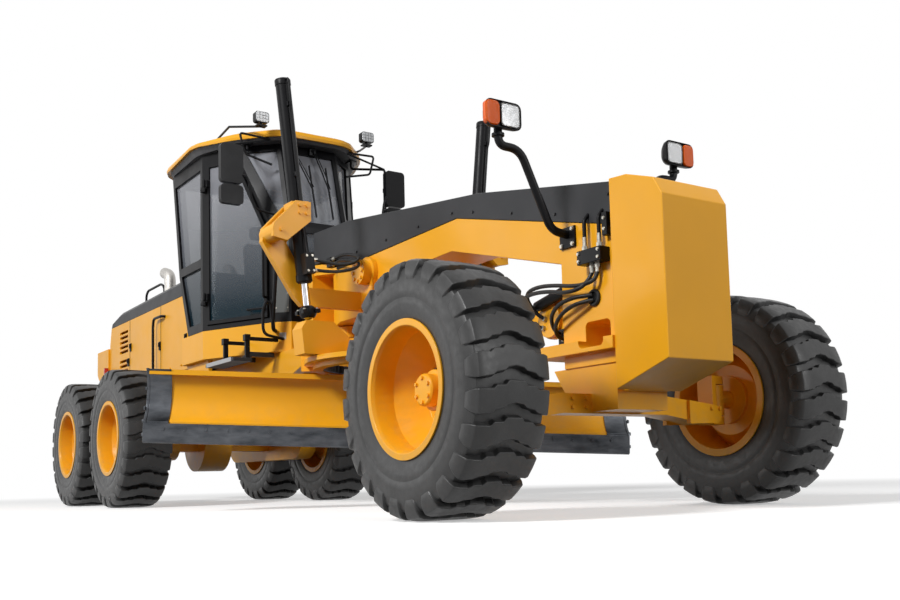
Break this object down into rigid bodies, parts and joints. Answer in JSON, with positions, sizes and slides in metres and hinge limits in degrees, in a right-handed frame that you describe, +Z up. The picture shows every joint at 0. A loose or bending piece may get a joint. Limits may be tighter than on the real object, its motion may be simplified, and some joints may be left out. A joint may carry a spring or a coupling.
{
  "type": "motor grader",
  "caption": "Motor grader with an articulated frame, cab over the rear frame, tandem rear drive, leaning steered front wheels, and a drawbar with a turning circle and a curved blade.",
  "frame": {"origin": "on the ground under the middle of the machine", "axes": "+X forward, +Y left, +Z up"},
  "size_m": [9.13, 3.3848, 3.3881],
  "materials": {
    "yellow_paint": "machine yellow paint, semi-gloss",
    "dark_paint": "dark grey satin paint",
    "black_paint": "black satin paint",
    "tyre_rubber": "matt black rubber",
    "cab_glass": "grey tinted glass",
    "rod_chrome": "polished chrome",
    "edge_steel": "dark rolled steel",
    "exhaust_steel": "silver heat paint",
    "engine_iron": "painted cast iron",
    "seat_fabric": "dark woven cloth",
    "lamp_glass": "clear ribbed lamp glass",
    "indicator_orange": "orange lamp plastic",
    "cab_plastic": "grained dark plastic"
  },
  "bodies": {
    "rear_frame": {"rear_frame": "yellow_paint", "rear_axle": "yellow_paint", "tandem_cases": "yellow_paint", "engine": "engine_iron", "hood": "yellow_paint", "hood_top": "dark_paint", "rear_bumper": "yellow_paint", "exhaust": "exhaust_steel", "cab_floor": "yellow_paint", "cab_frame": "black_paint", "cab_roof": "yellow_paint", "seat": "seat_fabric", "seat_base": "black_paint", "steering_column": "cab_plastic", "cab_glass": "cab_glass", "mirrors": "black_paint", "roof_lamps": "black_paint", "steps": "dark_paint"},
    "front_frame": {"front_frame": "yellow_paint", "beam_cover": "dark_paint", "nose_box": "yellow_paint", "front_axle": "yellow_paint", "lift_saddle": "yellow_paint", "head_lamps": "black_paint", "lamp_lenses": "lamp_glass", "indicator_lenses": "indicator_orange"},
    "drawbar": {"drawbar": "yellow_paint"},
    "circle": {"circle": "yellow_paint", "circle_gear": "edge_steel"},
    "blade_carriers": {"blade_carriers": "yellow_paint"},
    "blade": {"moldboard": "yellow_paint", "cutting_edge": "edge_steel"},
    "door_left": {"cab_door_left": "black_paint", "door_glass_left": "cab_glass"},
    "lean_left": {"lean_yoke_left": "yellow_paint"},
    "steer_left": {"knuckle_left": "yellow_paint"},
    "lift_left": {"lift_yoke_left": "yellow_paint", "lift_barrel_left": "black_paint"},
    "rod_left": {"lift_rod_left": "rod_chrome"},
    "front_wheel_left": {"front_rim_left": "yellow_paint", "front_tyre_left": "tyre_rubber"},
    "mid_wheel_left": {"mid_rim_left": "yellow_paint", "mid_tyre_left": "tyre_rubber"},
    "rear_wheel_left": {"rear_rim_left": "yellow_paint", "rear_tyre_left": "tyre_rubber"},
    "door_right": {"cab_door_right": "black_paint", "door_glass_right": "cab_glass"},
    "lean_right": {"lean_yoke_right": "yellow_paint"},
    "steer_right": {"knuckle_right": "yellow_paint"},
    "lift_right": {"lift_yoke_right": "yellow_paint", "lift_barrel_right": "black_paint"},
    "rod_right": {"lift_rod_right": "rod_chrome"},
    "front_wheel_right": {"front_rim_right": "yellow_paint", "front_tyre_right": "tyre_rubber"},
    "mid_wheel_right": {"mid_rim_right": "yellow_paint", "mid_tyre_right": "tyre_rubber"},
    "rear_wheel_right": {"rear_rim_right": "yellow_paint", "rear_tyre_right": "tyre_rubber"}
  },
  "joints": [
    {"name": "articulation", "type": "hinge", "parent": "rear_frame", "child": "front_frame", "pos_m": [0.8, 0, 1.65], "axis": [0, 0, 1], "range_deg": [-25, 25]},
    {"name": "drawbar_lift", "type": "hinge", "parent": "front_frame", "child": "drawbar", "pos_m": [3.5, 0, 1.134], "axis": [0, 1, 0], "range_deg": [-25, 3]},
    {"name": "circle_turn", "type": "hinge", "parent": "drawbar", "child": "circle", "pos_m": [1.53, 0, 1.08], "axis": [0, 0, 1], "continuous": true},
    {"name": "blade_pitch", "type": "hinge", "parent": "circle", "child": "blade_carriers", "pos_m": [1.29834, 0.11804, 0.62], "axis": [0.4535, 0.8901, -0.0454], "range_deg": [-5, 35]},
    {"name": "blade_shift", "type": "slide", "parent": "blade_carriers", "child": "blade", "axis": [-0.4535, -0.8901, 0.0454], "range_m": [-0.5, 0.5]},
    {"name": "lean_right_wheel", "type": "hinge", "parent": "front_frame", "child": "lean_right", "pos_m": [3.83, -0.8, 0.56], "axis": [1, 0, 0], "range_deg": [-17, 17]},
    {"name": "lean_left_wheel", "type": "hinge", "parent": "front_frame", "child": "lean_left", "pos_m": [3.83, 0.8, 0.56], "axis": [1, 0, 0], "range_deg": [-17, 17]},
    {"name": "steer_right_wheel", "type": "hinge", "parent": "lean_right", "child": "steer_right", "pos_m": [3.83, -0.93, 0.66], "axis": [0, 0, 1], "range_deg": [-45, 45]},
    {"name": "steer_left_wheel", "type": "hinge", "parent": "lean_left", "child": "steer_left", "pos_m": [3.83, 0.93, 0.66], "axis": [0, 0, 1], "range_deg": [-45, 45]},
    {"name": "door_left_hinge", "type": "hinge", "parent": "rear_frame", "child": "door_left", "pos_m": [-0.52272, 0.75547, 2.2], "axis": [0, 0, 1], "range_deg": [0, 80]},
    {"name": "lift_left_swing", "type": "hinge", "parent": "front_frame", "child": "lift_left", "pos_m": [1.5, 0.80917, 2.17278], "axis": [1, 0, 0], "range_deg": [-0.6, 3.6]},
    {"name": "lift_left_stroke", "type": "slide", "parent": "lift_left", "child": "rod_left", "axis": [0, -0.1063, -0.9943], "range_m": [-0.108, 0.875]},
    {"name": "door_right_hinge", "type": "hinge", "parent": "rear_frame", "child": "door_right", "pos_m": [-0.52272, -0.75547, 2.2], "axis": [0, 0, -1], "range_deg": [0, 80]},
    {"name": "lift_right_swing", "type": "hinge", "parent": "front_frame", "child": "lift_right", "pos_m": [1.5, -0.80917, 2.17278], "axis": [-1, 0, 0], "range_deg": [-0.6, 3.6]},
    {"name": "lift_right_stroke", "type": "slide", "parent": "lift_right", "child": "rod_right", "axis": [0, 0.1063, -0.9943], "range_m": [-0.108, 0.875]},
    {"name": "front_left_roll", "type": "hinge", "parent": "steer_left", "child": "front_wheel_left", "pos_m": [3.83, 1.155, 0.66], "axis": [0, 1, 0], "continuous": true},
    {"name": "front_right_roll", "type": "hinge", "parent": "steer_right", "child": "front_wheel_right", "pos_m": [3.83, -1.155, 0.66], "axis": [0, 1, 0], "continuous": true},
    {"name": "mid_left_roll", "type": "hinge", "parent": "rear_frame", "child": "mid_wheel_left", "pos_m": [-1.661, 1.0775, 0.66], "axis": [0, 1, 0], "continuous": true},
    {"name": "mid_right_roll", "type": "hinge", "parent": "rear_frame", "child": "mid_wheel_right", "pos_m": [-1.661, -1.0775, 0.66], "axis": [0, 1, 0], "continuous": true},
    {"name": "rear_left_roll", "type": "hinge", "parent": "rear_frame", "child": "rear_wheel_left", "pos_m": [-3.199, 1.0775, 0.66], "axis": [0, 1, 0], "continuous": true},
    {"name": "rear_right_roll", "type": "hinge", "parent": "rear_frame", "child": "rear_wheel_right", "pos_m": [-3.199, -1.0775, 0.66], "axis": [0, 1, 0], "continuous": true}
  ],
  "couplings": [
    {"joint": "lean_left_wheel", "follows": "lean_right_wheel", "ratio": 1},
    {"joint": "steer_left_wheel", "follows": "steer_right_wheel", "ratio": 1},
    {"joint": "lift_left_swing", "follows": "drawbar_lift", "ratio": -0.13167},
    {"joint": "lift_left_stroke", "follows": "drawbar_lift", "m_per_rad": -1.9959},
    {"joint": "lift_right_swing", "follows": "drawbar_lift", "ratio": -0.13167},
    {"joint": "lift_right_stroke", "follows": "drawbar_lift", "m_per_rad": -1.9959}
  ]
}
